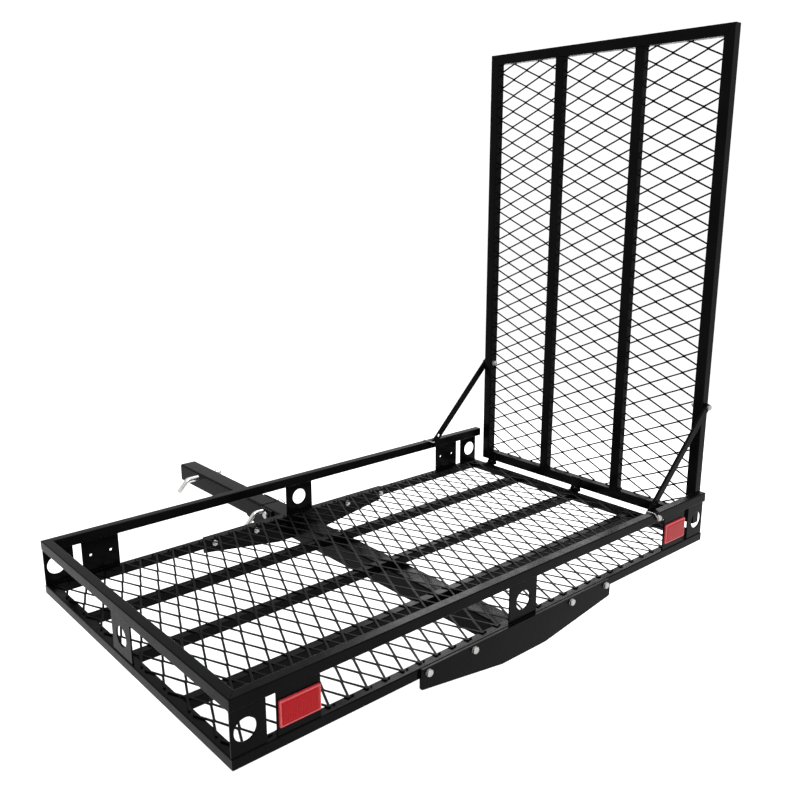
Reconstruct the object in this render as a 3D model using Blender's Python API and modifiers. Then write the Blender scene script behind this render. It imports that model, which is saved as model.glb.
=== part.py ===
"""Hitch cargo carrier: a low steel platform with an expanded-metal deck, perforated
side posts, a folding loading ramp with two swing-away braces, and a fold-up shank for
a 2 inch receiver.

Everything is laid out in platform coordinates: X runs along the platform towards the
ramp, Y from the reflector side towards the vehicle, Z up from the underside of the
bottom rails. The empty "carrier_datum" then moves the whole model so that the world
origin is on top of the shank, above the hitch pin.
"""
import math

import bmesh
import bpy
from mathutils import Vector

# ---------------------------------------------------------------- driving dimensions (m)
GAP = 0.0003             # clearance kept between touching pieces

LENGTH = 1.270           # platform length, 50 in
WIDTH = 0.750            # platform width, 29.5 in
RAIL = 0.020             # width of every platform tube
RAIL_H = 0.020           # height of the bottom tubes
TOP_H = 0.022            # height of the top tubes
OPEN_H = 0.076           # opening between the bottom and the top tubes
TOP_OVERHANG = 0.005     # top tubes run past the ramp end
RAIL_WALL = 0.002
CORNER_R = 0.0016        # outside corner radius of square tube

INNER_CORNER_R = 0.0006

POST_T = 0.003           # plate of the side posts
POST_INSET = 0.002       # posts sit back from the outer faces of the tubes
CORNER_POST_W = 0.062
PLATE_FROM_END = 0.080   # reflector plates: nearest and farthest edge from the platform's end
PLATE_TO_END = 0.161
MID_POST_W = 0.077
POST_HOLE_R = 0.0195
POST_HOLE_FROM_END = 0.026
SCREW_R = 0.003
SCREW_SPACING = 0.044
REFLECTOR = (0.076, 0.006, 0.045)

MESH_T = 0.0010          # expanded-metal sheet, as a solid sheet of about its weight
DECK_MESH_INSET = 0.010

SHANK = 0.050            # square shank and beam, for a 2 in receiver
SHANK_WALL = 0.005
BEAM_WALL = 0.003
SHANK_END_Y = 1.337
SHANK_START_Y = 0.8875
BEAM_END_Y = 0.8825
HITCH_PIN_Y = 1.228
HITCH_PIN_Z = -0.014

FOLD_Y, FOLD_Z = 0.869, -0.0105      # fold pin, the platform's pivot
STOP_Y, STOP_Z = 0.854, -0.0165      # stop bolt, rides in the beam's curved slots
FOLD_TRAVEL = 90.0                   # degrees
STOP_R = 0.005
SLOT_R = 0.0056                      # half width of the curved slots
CHEEK_T = 0.006

HITCH_PIN = (0.0080, 0.582, 0.682)   # 5/8 in pin: radius, X of the bend, X of the tip
FOLD_PIN = (0.0063, 0.585, 0.680)    # 1/2 in pin
PIN_CLEARANCE = 0.0001
PIN_HANDLE = (0.036, 47.0)           # length of the bent handle and its angle below level
CLIP_HOLE_R = 0.0020
CLIP_HOLE_IN = 0.009

GUSSET_T = 0.005
GUSSET_HALF = 0.269
GUSSET_BOTTOM = -0.050
GUSSET_FLAT = 0.062
GUSSET_SIDE = -0.019
GUSSET_BOLTS = (-0.252, -0.139, 0.139, 0.252)
M8_R = 0.004
M8_HOLE_R = 0.0043
M8_HEAD = (0.0065, 0.0055)           # half width across flats, height

RAMP_X = 1.277           # inner face of the ramp's tubes
RAMP_TUBE = 0.025
RAMP_Z0, RAMP_Z1 = 0.0297, 1.150
RAMP_WIDTH = 0.693
RAMP_BAR = (0.020, 0.025)            # depth and width of the ramp's bars
RAMP_BAR_OFFSET = 0.116
RAMP_MESH_X = 1.2973
RAMP_WALL = 0.002

HINGE_X, HINGE_Z = 1.2745, 0.0245
HINGE_R = 0.0044
HINGE_PIN_R = 0.0022
HINGE_BORE_R = 0.00226
HINGE_LEN = 0.030
HINGE_MIDDLE = 0.012
HINGE_YS = (0.070, 0.375, 0.680)

ARM_T = 0.006
ARM_W = 0.017
ARM_Y = 0.024                        # the brace's mid plane, in from the platform's edge
ARM_LOW = (1.077, 0.108)             # X, Z of the brace's lower hole, on the top rail
ARM_HIGH = (1.2895, 0.318)           # X, Z of the brace's pivot on the ramp
ARM_SPARE = 0.032
ARM_HOLE_R = 0.0052
RAIL_PIN_R = 0.0045
RAIL_PIN_HEAD = (0.0065, 0.008)      # radius, length

TOP_Z = RAIL_H + OPEN_H              # underside of the top tubes
POST_Z = RAIL_H + OPEN_H / 2
MID_X = LENGTH / 2

BLACK = ((0.022, 0.022, 0.024), 0.42, 0.25)
MESH_BLACK = ((0.014, 0.014, 0.015), 0.5, 0.2)
ZINC = ((0.72, 0.72, 0.73), 0.28, 0.95)
CHROME = ((0.85, 0.85, 0.86), 0.12, 1.0)
RED = ((0.62, 0.012, 0.018), 0.25, 0.0)


# ---------------------------------------------------------------- scene helpers
def clear_scene():
    for obj in list(bpy.data.objects):
        bpy.data.objects.remove(obj, do_unlink=True)


def collection(name):
    col = bpy.data.collections.new(name)
    bpy.context.scene.collection.children.link(col)
    return col


def empty(name, location, parent=None):
    obj = bpy.data.objects.new(name, None)
    obj.empty_display_size = 0.05
    obj.location = Vector(location) - (ORIGINS[parent.name] if parent else Vector())
    obj.parent = parent
    ORIGINS[name] = Vector(location)
    PARTS.objects.link(obj)
    return obj


def finish(obj, look, location, parent, rotation=(0, 0, 0)):
    """Give a piece its own material and place it, in platform coordinates."""
    colour, roughness, metallic = look
    mat = bpy.data.materials.new(obj.name)
    mat.use_nodes = True
    shader = mat.node_tree.nodes["Principled BSDF"]
    shader.inputs["Base Color"].default_value = (*colour, 1.0)
    shader.inputs["Roughness"].default_value = roughness
    shader.inputs["Metallic"].default_value = metallic
    mat.diffuse_color = (*colour, 1.0)
    obj.data.materials.clear()
    obj.data.materials.append(mat)
    obj.data.shade_smooth()
    obj.data.set_sharp_from_angle(angle=math.radians(35))
    obj.rotation_euler = rotation
    obj.location = Vector(location) - ORIGINS[parent.name]
    obj.parent = parent
    PARTS.objects.link(obj)
    return obj


def cut(obj, cutter, operation="DIFFERENCE"):
    mod = obj.modifiers.new(cutter.name, "BOOLEAN")
    mod.operation = operation
    mod.solver = "EXACT"
    mod.object = cutter
    return obj


# ---------------------------------------------------------------- outlines
def circle(radius, count=32, cx=0.0, cy=0.0, phase=0.0):
    return [(cx + radius * math.cos(2 * math.pi * (i + phase) / count),
             cy + radius * math.sin(2 * math.pi * (i + phase) / count)) for i in range(count)]


def rectangle(width, height, radius=0.0, steps=4):
    """Centred rectangle, with round corners when a radius is given."""
    if radius <= 0:
        return [(-width / 2, -height / 2), (width / 2, -height / 2),
                (width / 2, height / 2), (-width / 2, height / 2)]
    points = []
    for corner, (sx, sy) in enumerate(((1, 1), (-1, 1), (-1, -1), (1, -1))):
        for i in range(steps + 1):
            a = math.pi / 2 * (corner + i / steps)
            points.append((sx * (width / 2 - radius) + radius * math.cos(a),
                           sy * (height / 2 - radius) + radius * math.sin(a)))
    return points


def hexagon(half_flats):
    return circle(half_flats / math.cos(math.pi / 6), 6)


def arc_slot(cx, cy, radius, half_width, start, end, steps=18):
    """Curved slot with round ends, about the point (cx, cy); angles in degrees."""
    points = []
    for i in range(steps + 1):
        a = math.radians(start + (end - start) * i / steps)
        points.append((cx + (radius + half_width) * math.cos(a),
                       cy + (radius + half_width) * math.sin(a)))
    points += cap_points(cx, cy, radius, half_width, end, 0)
    for i in range(steps + 1):
        a = math.radians(end + (start - end) * i / steps)
        points.append((cx + (radius - half_width) * math.cos(a),
                       cy + (radius - half_width) * math.sin(a)))
    points += cap_points(cx, cy, radius, half_width, start, 180)
    return points


def cap_points(cx, cy, radius, half_width, at, turn, steps=8):
    centre = (cx + radius * math.cos(math.radians(at)), cy + radius * math.sin(math.radians(at)))
    return [(centre[0] + half_width * math.cos(math.radians(at + turn + 180 * i / steps)),
             centre[1] + half_width * math.sin(math.radians(at + turn + 180 * i / steps)))
            for i in range(1, steps)]


# ---------------------------------------------------------------- solids
def mesh_from_curve(name, curve):
    """Turn a filled curve into a welded mesh object."""
    guide = bpy.data.objects.new(name + "_guide", curve)
    PARTS.objects.link(guide)
    graph = bpy.context.evaluated_depsgraph_get()
    mesh = bpy.data.meshes.new_from_object(guide.evaluated_get(graph))
    bpy.data.objects.remove(guide)
    bpy.data.curves.remove(curve)
    bm = bmesh.new()
    bm.from_mesh(mesh)
    bmesh.ops.remove_doubles(bm, verts=bm.verts, dist=1e-6)
    bmesh.ops.recalc_face_normals(bm, faces=bm.faces)
    bm.to_mesh(mesh)
    bm.free()
    mesh.name = name
    return bpy.data.objects.new(name, mesh)


def prism(name, loops, depth):
    """Flat outline, with holes, extruded by depth along local Z and centred on it."""
    curve = bpy.data.curves.new(name, "CURVE")
    curve.dimensions = "2D"
    curve.fill_mode = "BOTH"
    curve.extrude = depth / 2
    for loop in loops:
        spline = curve.splines.new("POLY")
        spline.points.add(len(loop) - 1)
        for point, (x, y) in zip(spline.points, loop):
            point.co = (x, y, 0, 1)
        spline.use_cyclic_u = True
    return mesh_from_curve(name, curve)


def hollow(name, outer, inner, length):
    """Tube along local Z between two matching outlines, open at both ends."""
    bm = bmesh.new()
    rings = [[bm.verts.new((x, y, z)) for x, y in loop]
             for loop, z in ((outer, -length / 2), (outer, length / 2),
                             (inner, length / 2), (inner, -length / 2))]
    count = len(outer)
    for a, b in zip(rings, rings[1:] + rings[:1]):
        for i in range(count):
            j = (i + 1) % count
            bm.faces.new((a[i], a[j], b[j], b[i]))
    bmesh.ops.recalc_face_normals(bm, faces=bm.faces)
    mesh = bpy.data.meshes.new(name)
    bm.to_mesh(mesh)
    bm.free()
    return bpy.data.objects.new(name, mesh)


def rod(name, points, radius, resolution=3):
    """Round wire or bar along a line of points."""
    curve = bpy.data.curves.new(name, "CURVE")
    curve.dimensions = "3D"
    curve.bevel_depth = radius
    curve.bevel_resolution = resolution
    curve.use_fill_caps = True
    spline = curve.splines.new("POLY")
    spline.points.add(len(points) - 1)
    for point, co in zip(spline.points, points):
        point.co = (*co, 1)
    return mesh_from_curve(name, curve)


def box(name, size, bevel=0.0):
    mesh = bpy.data.meshes.new(name)
    bm = bmesh.new()
    bmesh.ops.create_cube(bm, size=1.0)
    bmesh.ops.scale(bm, vec=size, verts=bm.verts)
    bm.to_mesh(mesh)
    bm.free()
    obj = bpy.data.objects.new(name, mesh)
    if bevel:
        mod = obj.modifiers.new("round_edges", "BEVEL")
        mod.width = bevel
        mod.segments = 3
    return obj


def cutter(obj, location, rotation=(0, 0, 0)):
    """A cutting body: kept out of the model, in platform coordinates."""
    obj.location = Vector(location) - ORIGINS["carrier_datum"]
    obj.rotation_euler = rotation
    obj.parent = DATUM
    obj.hide_render = True
    obj.display_type = "WIRE"
    CUTTERS.objects.link(obj)
    return obj


# A prism's local Z is turned to lie along the named world axis.
ALONG_X = (math.pi / 2, 0, math.pi / 2)      # local x -> Y, local y -> Z
ALONG_Y = (math.pi / 2, 0, 0)                # local x -> X, local y -> Z, local z -> -Y
ALONG_Z = (0, 0, 0)


def round_cutter(name, axis, radius, length, location, count=32):
    return cutter(prism(name, [circle(radius, count, phase=0.5)], length), location, axis)


def tube(name, look, axis, size, wall, centre, length, parent, mitre=0, mitre_ends=(True, True),
         corner=CORNER_R):
    """Square tube. mitre is the local side, -1 or +1 of x, that keeps the full length."""
    width, height = size
    obj = hollow(name, rectangle(width, height, corner),
                 rectangle(width - 2 * wall, height - 2 * wall, INNER_CORNER_R), length)
    if mitre:
        for vert in obj.data.vertices:
            end = 0 if vert.co.z < 0 else 1
            if mitre_ends[end]:
                shift = GAP * 0.75 + width / 2 - mitre * vert.co.x
                vert.co.z += shift if end == 0 else -shift
    return finish(obj, look, centre, parent, axis)


# ---------------------------------------------------------------- platform frame
def make_platform(parent):
    rails = {}
    for level, z, height in (("bottom", 0.0, RAIL_H), ("top", TOP_Z, TOP_H)):
        over = TOP_OVERHANG if level == "top" else 0.0
        square_end = level == "top"
        for side, y, outer in (("front", RAIL / 2, -1), ("rear", WIDTH - RAIL / 2, 1)):
            name = f"{side}_{level}_rail"
            rails[name] = tube(name, BLACK, ALONG_X, (RAIL, height), RAIL_WALL,
                               ((LENGTH + over) / 2, y, z + height / 2), LENGTH + over, parent,
                               outer, (True, not square_end))
        tube(f"left_{level}_rail", BLACK, ALONG_Y, (RAIL, height), RAIL_WALL,
             (RAIL / 2, WIDTH / 2, z + height / 2), WIDTH, parent, -1)
    tube("right_bottom_rail", BLACK, ALONG_Y, (RAIL, RAIL_H), RAIL_WALL,
         (LENGTH - RAIL / 2, WIDTH / 2, RAIL_H / 2), WIDTH, parent, 1)
    span = LENGTH - 2 * RAIL - 2 * GAP
    for label, y in (("front", WIDTH / 4), ("centre", WIDTH / 2), ("rear", WIDTH * 3 / 4)):
        tube(f"deck_bar_{label}", BLACK, ALONG_X, (RAIL, RAIL_H), RAIL_WALL,
             (MID_X, y, RAIL_H / 2), span, parent)
    mesh_end = LENGTH - RAIL
    finish(box("deck_mesh", (mesh_end - DECK_MESH_INSET, WIDTH - 2 * DECK_MESH_INSET, MESH_T)),
           MESH_BLACK, ((mesh_end + DECK_MESH_INSET) / 2, WIDTH / 2, RAIL_H + GAP + MESH_T / 2),
           parent)
    return rails


def make_post(name, width, holes, location, axis, parent):
    height = OPEN_H - 2 * GAP
    loops = [rectangle(width, height)]
    loops += [circle(radius, 40 if radius > 0.01 else 16, x, 0.0) for radius, x in holes]
    return finish(prism(name, loops, POST_T), BLACK, location, parent, axis)


def make_posts(parent):
    plate_w = PLATE_TO_END - PLATE_FROM_END
    plate_c = (PLATE_TO_END + PLATE_FROM_END) / 2
    depth = POST_INSET + POST_T / 2
    for side, y in (("front", depth), ("rear", WIDTH - depth)):
        for end, mirror, x0 in (("left", 1, 0.0), ("right", -1, LENGTH)):
            centre = x0 + mirror * (CORNER_POST_W + GAP) / 2
            hole = x0 + mirror * POST_HOLE_FROM_END - centre
            make_post(f"{side}_{end}_corner_post", CORNER_POST_W - GAP, [(POST_HOLE_R, hole)],
                      (centre, y, POST_Z), ALONG_Y, parent)
            make_post(f"{side}_{end}_reflector_plate", plate_w,
                      [(SCREW_R, -SCREW_SPACING / 2), (SCREW_R, SCREW_SPACING / 2)],
                      (x0 + mirror * plate_c, y, POST_Z), ALONG_Y, parent)
        make_post(f"{side}_middle_post", MID_POST_W, [(POST_HOLE_R, 0.0)],
                  (MID_X, y, POST_Z), ALONG_Y, parent)
    make_post("left_middle_post", MID_POST_W, [(POST_HOLE_R, 0.0)],
              (depth, WIDTH / 2, POST_Z), ALONG_X, parent)
    for end, x in (("left", plate_c), ("right", LENGTH - plate_c)):
        finish(box(f"{end}_reflector", REFLECTOR, 0.0015), RED,
               (x, POST_INSET - GAP - REFLECTOR[1] / 2, POST_Z), parent)


# ---------------------------------------------------------------- beam, gussets and bolts
def make_bolt(name, shank_r, head, length, location, rotation, parent, look=ZINC, nut=None):
    """Hex bolt along local -Z from the underside of its head, which stands on local +Z."""
    obj = prism(name, [hexagon(head[0])], head[1])
    for vert in obj.data.vertices:
        vert.co.z += head[1] / 2
    shank = prism(name + "_shank", [circle(shank_r, 24)], length + head[1] / 2)
    for vert in shank.data.vertices:
        vert.co.z -= (length - head[1] / 2) / 2
    cut(obj, cutter(shank, location, rotation), "UNION")
    if nut:
        half_flats, thick, far = nut
        ring = prism(name + "_nut", [hexagon(half_flats)], thick)
        for vert in ring.data.vertices:
            vert.co.z -= far - thick / 2
        cut(obj, cutter(ring, location, rotation), "UNION")
    return finish(obj, look, location, parent, rotation)


def make_beam(parent, rails):
    z = -GAP - SHANK / 2
    beam = tube("centre_beam", BLACK, ALONG_Y, (SHANK, SHANK), BEAM_WALL,
                (MID_X, (GAP + BEAM_END_Y) / 2, z), BEAM_END_Y - GAP, parent, corner=0.003)
    cut(beam, round_cutter("beam_pin_bore", ALONG_X, FOLD_PIN[0] + PIN_CLEARANCE, 0.08,
                           (MID_X, FOLD_Y, FOLD_Z), 48))
    dy, dz = STOP_Y - FOLD_Y, STOP_Z - FOLD_Z
    start = math.degrees(math.atan2(dz, dy)) % 360
    slot = arc_slot(0.0, 0.0, math.hypot(dy, dz), SLOT_R, start, start + FOLD_TRAVEL)
    cut(beam, cutter(prism("beam_slot", [slot], 0.08), (MID_X, FOLD_Y, FOLD_Z), ALONG_X))

    side = [(-GUSSET_HALF, RAIL_H - 0.0005), (-GUSSET_HALF, GUSSET_SIDE),
            (-GUSSET_FLAT, GUSSET_BOTTOM)]
    front = side + [(-x, y) for x, y in reversed(side)]
    notch = SHANK / 2 + 0.0006
    rear = side + [(-notch, GUSSET_BOTTOM), (-notch, 0.0), (notch, 0.0), (notch, GUSSET_BOTTOM)]
    rear += [(-x, y) for x, y in reversed(side)]
    for label, loop, y, out in (("front", front, -GAP - GUSSET_T / 2, -1),
                                ("rear", rear, WIDTH + GAP + GUSSET_T / 2, 1)):
        holes = [circle(M8_HOLE_R, 24, x, RAIL_H / 2) for x in GUSSET_BOLTS]
        finish(prism(f"{label}_gusset", [loop] + holes, GUSSET_T), BLACK, (MID_X, y, 0.0),
               parent, ALONG_Y)
        face = y + out * (GUSSET_T / 2 + GAP)
        turn = (math.pi / 2, 0, 0) if out < 0 else (-math.pi / 2, 0, 0)
        for number, x in enumerate(GUSSET_BOLTS, 1):
            at = (MID_X + x, face, RAIL_H / 2)
            cut(rails[f"{label}_bottom_rail"],
                round_cutter(f"{label}_rail_bore_{number}", ALONG_Y, M8_HOLE_R, 0.06,
                             (MID_X + x, RAIL / 2 if out < 0 else WIDTH - RAIL / 2, RAIL_H / 2), 24))
            make_bolt(f"{label}_gusset_bolt_{number}", M8_R, M8_HEAD, 0.034, at, turn, parent)


# ---------------------------------------------------------------- shank, bracket and pins
def make_shank(parent):
    z = -GAP - SHANK / 2
    shank = tube("hitch_shank", BLACK, ALONG_Y, (SHANK, SHANK), SHANK_WALL,
                 (MID_X, (SHANK_START_Y + SHANK_END_Y) / 2, z), SHANK_END_Y - SHANK_START_Y,
                 parent, corner=0.003)
    cut(shank, round_cutter("shank_pin_bore", ALONG_X, HITCH_PIN[0] + PIN_CLEARANCE, 0.08,
                            (MID_X, HITCH_PIN_Y, HITCH_PIN_Z), 48))
    outline = [(-0.037, -0.004), (-0.037, -0.066), (-0.033, -0.070), (-0.001, -0.070),
               (0.006, -0.067), (0.080, -0.048), (0.086, -0.041), (0.086, -0.004),
               (0.084, -0.002), (-0.035, -0.002)]
    for label, x in (("left", MID_X - SHANK / 2 - GAP - CHEEK_T / 2),
                     ("right", MID_X + SHANK / 2 + GAP + CHEEK_T / 2)):
        loops = [outline, circle(FOLD_PIN[0] + PIN_CLEARANCE, 48, 0.0, FOLD_Z),
                 circle(STOP_R + 0.0002, 24, STOP_Y - FOLD_Y, STOP_Z)]
        finish(prism(f"{label}_pivot_cheek", loops, CHEEK_T), BLACK, (x, FOLD_Y, 0.0), parent,
               ALONG_X)
    make_bolt("stop_bolt", STOP_R, (0.0085, 0.0064), 0.078,
              (MID_X - SHANK / 2 - CHEEK_T - 2 * GAP, STOP_Y, STOP_Z), (0, -math.pi / 2, 0),
              parent, nut=(0.0085, 0.008, SHANK + 2 * CHEEK_T + 4 * GAP + 0.008))


def make_pin(name, size, y, z, clip_axis, parent):
    """Bent pin along X: its handle hangs down outside, its tip is drilled for a clip."""
    radius, bend_x, tip_x = size
    length, angle = PIN_HANDLE[0], math.radians(PIN_HANDLE[1])
    bend_r = 0.016
    points = [(tip_x, 0.0), (bend_x + 0.006, 0.0)]
    for i in range(9):
        a = angle * i / 8
        points.append((bend_x - bend_r * math.sin(a), -bend_r * (1 - math.cos(a))))
    end = points[-1]
    points.append((end[0] - length * math.cos(angle), end[1] - length * math.sin(angle)))
    pin = rod(name, [(x - MID_X, 0.0, dz) for x, dz in points], radius, 5)
    cut(pin, round_cutter(name + "_clip_hole", clip_axis, CLIP_HOLE_R, 0.05,
                          (tip_x - CLIP_HOLE_IN, y, z), 16))
    return finish(pin, CHROME, (MID_X, y, z), parent)


# ---------------------------------------------------------------- ramp, hinges and braces
def make_ramp(parent):
    x = RAMP_X + RAMP_TUBE / 2
    height = RAMP_Z1 - RAMP_Z0
    middle = (RAMP_Z1 + RAMP_Z0) / 2
    y0, y1 = (WIDTH - RAMP_WIDTH) / 2, (WIDTH + RAMP_WIDTH) / 2
    size = (RAMP_TUBE, RAMP_TUBE)
    sides = {}
    for label, y, outer in (("front", y0 + RAMP_TUBE / 2, 1), ("rear", y1 - RAMP_TUBE / 2, -1)):
        # turned so that the cross-section's local x runs along -Y or +Y
        sides[label] = tube(f"ramp_{label}_side", BLACK, (0, 0, -math.pi / 2), size, RAMP_WALL,
                            (x, y, middle), height, parent, outer)
    for label, z, outer in (("bottom", RAMP_Z0 + RAMP_TUBE / 2, -1),
                            ("top", RAMP_Z1 - RAMP_TUBE / 2, 1)):
        # local x runs along Z, local z along Y
        tube(f"ramp_{label}_tube", BLACK, (-math.pi / 2, -math.pi / 2, 0), size, RAMP_WALL,
             (x, WIDTH / 2, z), RAMP_WIDTH, parent, outer)
    inner = height - 2 * RAMP_TUBE - 2 * GAP
    for label, offset in (("front", -RAMP_BAR_OFFSET), ("rear", RAMP_BAR_OFFSET)):
        tube(f"ramp_bar_{label}", BLACK, ALONG_Z, RAMP_BAR, RAMP_WALL,
             (RAMP_X + RAMP_BAR[0] / 2, WIDTH / 2 + offset, middle), inner, parent)
    finish(box("ramp_mesh", (MESH_T, RAMP_WIDTH - 2 * RAMP_TUBE - 2 * GAP, inner)), MESH_BLACK,
           (RAMP_MESH_X + MESH_T / 2, WIDTH / 2, middle), parent)
    for label, side in sides.items():
        y = y0 + RAMP_TUBE / 2 if label == "front" else y1 - RAMP_TUBE / 2
        cut(side, round_cutter(f"ramp_{label}_bore", ALONG_Y, M8_HOLE_R, 0.06,
                               (ARM_HIGH[0], y, ARM_HIGH[1]), 24))


def make_hinge(number, y, deck, ramp):
    """Butt hinge: a deck leaf with the pin in its middle knuckle, a ramp leaf on both ends."""
    at = (HINGE_X, y, HINGE_Z)
    leaf_t = 0.003
    half_mid = HINGE_MIDDLE / 2
    leaf_z = RAIL_H + GAP + leaf_t / 2
    wide = box(f"hinge_{number}_deck_leaf", (0.0175, HINGE_LEN, leaf_t))
    neck = box(f"hinge_{number}_neck", (0.010, HINGE_MIDDLE, leaf_t))
    cut(wide, cutter(neck, (1.2690, y, leaf_z)), "UNION")
    cut(wide, round_cutter(f"hinge_{number}_knuckle", ALONG_Y, HINGE_R, HINGE_MIDDLE, at, 24), "UNION")
    cut(wide, round_cutter(f"hinge_{number}_pin", ALONG_Y, HINGE_PIN_R, HINGE_LEN + 0.002, at, 24),
        "UNION")
    finish(wide, BLACK, (1.2515 + 0.0175 / 2, y, leaf_z), deck)

    side_len = (HINGE_LEN - HINGE_MIDDLE) / 2 - GAP
    side_y = half_mid + GAP + side_len / 2
    plate_z0, plate_z1 = HINGE_Z + HINGE_R + 0.0004, 0.056
    plate = box(f"hinge_{number}_ramp_leaf", (0.0026, HINGE_LEN, plate_z1 - plate_z0))
    for sign in (-1, 1):
        lug = box(f"hinge_{number}_lug_{sign + 1}", (0.0026, side_len, 0.012))
        cut(plate, cutter(lug, (RAMP_X - GAP - 0.0013, y + sign * side_y, HINGE_Z + 0.006)), "UNION")
        cut(plate, round_cutter(f"hinge_{number}_side_{sign + 1}", ALONG_Y, HINGE_R, side_len,
                                (HINGE_X, y + sign * side_y, HINGE_Z), 24), "UNION")
    cut(plate, round_cutter(f"hinge_{number}_bore", ALONG_Y, HINGE_BORE_R, 0.05, at, 24))
    finish(plate, BLACK, (RAMP_X - GAP - 0.0013, y, (plate_z0 + plate_z1) / 2), ramp)


def make_brace(label, out, ramp):
    """Flat brace beside a top rail, on its pivot bolt in the ramp's side tube."""
    y = ARM_Y if out < 0 else WIDTH - ARM_Y
    low, high = Vector(ARM_LOW), Vector(ARM_HIGH)
    run = (high - low).length
    angle = math.atan2(high.y - low.y, high.x - low.x)
    half = ARM_W / 2
    loop = [(half * math.cos(a), half * math.sin(a))
            for a in (-math.pi / 2 + math.pi * i / 12 for i in range(13))]
    loop += [(-run + half * math.cos(a), half * math.sin(a))
             for a in (math.pi / 2 + math.pi * i / 12 for i in range(13))]
    holes = [circle(M8_HOLE_R, 32), circle(ARM_HOLE_R, 32, -run),
             circle(ARM_HOLE_R, 32, ARM_SPARE - run)]
    axis = empty(f"{label}_brace_axis", (high.x, y, high.y), ramp)
    brace = prism(f"{label}_brace", [loop] + holes, ARM_T)
    finish(brace, BLACK, (high.x, y, high.y), axis, (math.pi / 2, -angle, 0))

    face = y + out * (ARM_T / 2 + GAP)
    far = (WIDTH - RAMP_WIDTH) / 2 + RAMP_TUBE + GAP - (ARM_Y - ARM_T / 2 - GAP)
    turn = (math.pi / 2, 0, 0) if out < 0 else (-math.pi / 2, 0, 0)
    make_bolt(f"{label}_brace_bolt", M8_R, M8_HEAD, far + 0.009, (high.x, face, high.y), turn,
              ramp, nut=(0.0065, 0.0065, far + 0.0065))
    return axis


def make_rail_pin(label, out, parent):
    """Pull-out pin of a brace: head outside the top rail, stem through the rail."""
    outer = 0.0 if out < 0 else WIDTH
    face = outer + out * GAP
    head_r, head_len = RAIL_PIN_HEAD
    stem = RAIL + 2 * GAP + head_len / 2
    pin = prism(f"{label}_rail_pin", [circle(head_r, 32)], head_len)
    for vert in pin.data.vertices:
        vert.co.z += head_len / 2
    shank = prism(f"{label}_rail_pin_stem", [circle(RAIL_PIN_R, 24)], stem)
    for vert in shank.data.vertices:
        vert.co.z -= (stem - head_len) / 2
    at = (ARM_LOW[0], face, ARM_LOW[1])
    turn = (math.pi / 2, 0, 0) if out < 0 else (-math.pi / 2, 0, 0)
    cut(pin, cutter(shank, at, turn), "UNION")
    return finish(pin, ZINC, at, parent, turn)


# ---------------------------------------------------------------- the carrier
clear_scene()
PARTS = collection("hitch_cargo_carrier")
CUTTERS = collection("cutters")
ORIGINS = {}

DATUM = empty("carrier_datum", (0, 0, 0))
DATUM.location = (-MID_X, -HITCH_PIN_Y, GAP)
platform_axis = empty("platform_fold_axis", (MID_X, FOLD_Y, FOLD_Z), DATUM)
ramp_axis = empty("ramp_hinge_axis", (HINGE_X, WIDTH / 2, HINGE_Z), platform_axis)

platform_rails = make_platform(platform_axis)
make_posts(platform_axis)
make_beam(platform_axis, platform_rails)
make_shank(DATUM)
make_pin("hitch_pin", HITCH_PIN, HITCH_PIN_Y, HITCH_PIN_Z, ALONG_Z, DATUM)
make_pin("fold_pin", FOLD_PIN, FOLD_Y, FOLD_Z, ALONG_Y, DATUM)
make_ramp(ramp_axis)
for index, hinge_y in enumerate(HINGE_YS, 1):
    make_hinge(index, hinge_y, platform_axis, ramp_axis)
for brace_label, brace_out in (("front", -1), ("rear", 1)):
    make_brace(brace_label, brace_out, ramp_axis)
    make_rail_pin(brace_label, brace_out, platform_axis)
    rail_y = RAIL / 2 if brace_out < 0 else WIDTH - RAIL / 2
    cut(platform_rails[f"{brace_label}_top_rail"],
        round_cutter(f"{brace_label}_top_rail_bore", ALONG_Y, RAIL_PIN_R + PIN_CLEARANCE, 0.06,
                     (ARM_LOW[0], rail_y, ARM_LOW[1]), 24))
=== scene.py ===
"""Looks of the hitch cargo carrier: every piece is rebuilt in fine detail over the CAD
frame and rides on its body. Lengths below are millimetres in platform coordinates: X along
the platform towards the ramp, Y towards the vehicle, Z up from under the bottom rails."""

import math
import random

import bmesh
import bpy
from mathutils import Euler, Matrix, Vector


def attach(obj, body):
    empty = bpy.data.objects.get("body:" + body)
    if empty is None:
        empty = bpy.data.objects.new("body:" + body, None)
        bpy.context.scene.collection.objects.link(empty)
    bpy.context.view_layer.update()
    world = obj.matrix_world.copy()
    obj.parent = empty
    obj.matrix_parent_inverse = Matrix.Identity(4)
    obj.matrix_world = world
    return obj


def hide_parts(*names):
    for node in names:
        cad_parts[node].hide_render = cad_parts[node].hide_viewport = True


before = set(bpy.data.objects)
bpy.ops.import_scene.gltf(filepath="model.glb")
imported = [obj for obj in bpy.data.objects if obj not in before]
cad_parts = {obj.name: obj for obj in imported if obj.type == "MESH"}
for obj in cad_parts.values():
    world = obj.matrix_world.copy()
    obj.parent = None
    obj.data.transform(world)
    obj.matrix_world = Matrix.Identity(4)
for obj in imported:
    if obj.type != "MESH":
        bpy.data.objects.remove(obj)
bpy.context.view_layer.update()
DATUM = Vector((635.0, 1228.0, -0.3))        # the row origin, on top of the shank above its pin
LENGTH, WIDTH = 1270.0, 750.0
MIDDLE_X = 635.0                             # middle of the platform, beam and shank
RAIL, TOP_RAIL_H = 20.0, 22.0
TOP_RAIL_Z = 107.0
POST_Z = 58.0
TIE_HOLE_R = 19.5
M8_R, M8_HOLE_R = 4.0, 4.3
SHANK, SHANK_Z = 50.0, -25.3
HITCH_PIN_AT = (1228, -14)                   # Y and Z of the pins and of the stop bolt
FOLD_PIN_AT = (869, -10.5)
STOP_AT = (854, -16.5)
SLOT_R = 5.6
RAIL_PIN_AT = (1077, 108)                    # X and Z of the braces' two ends
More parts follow.
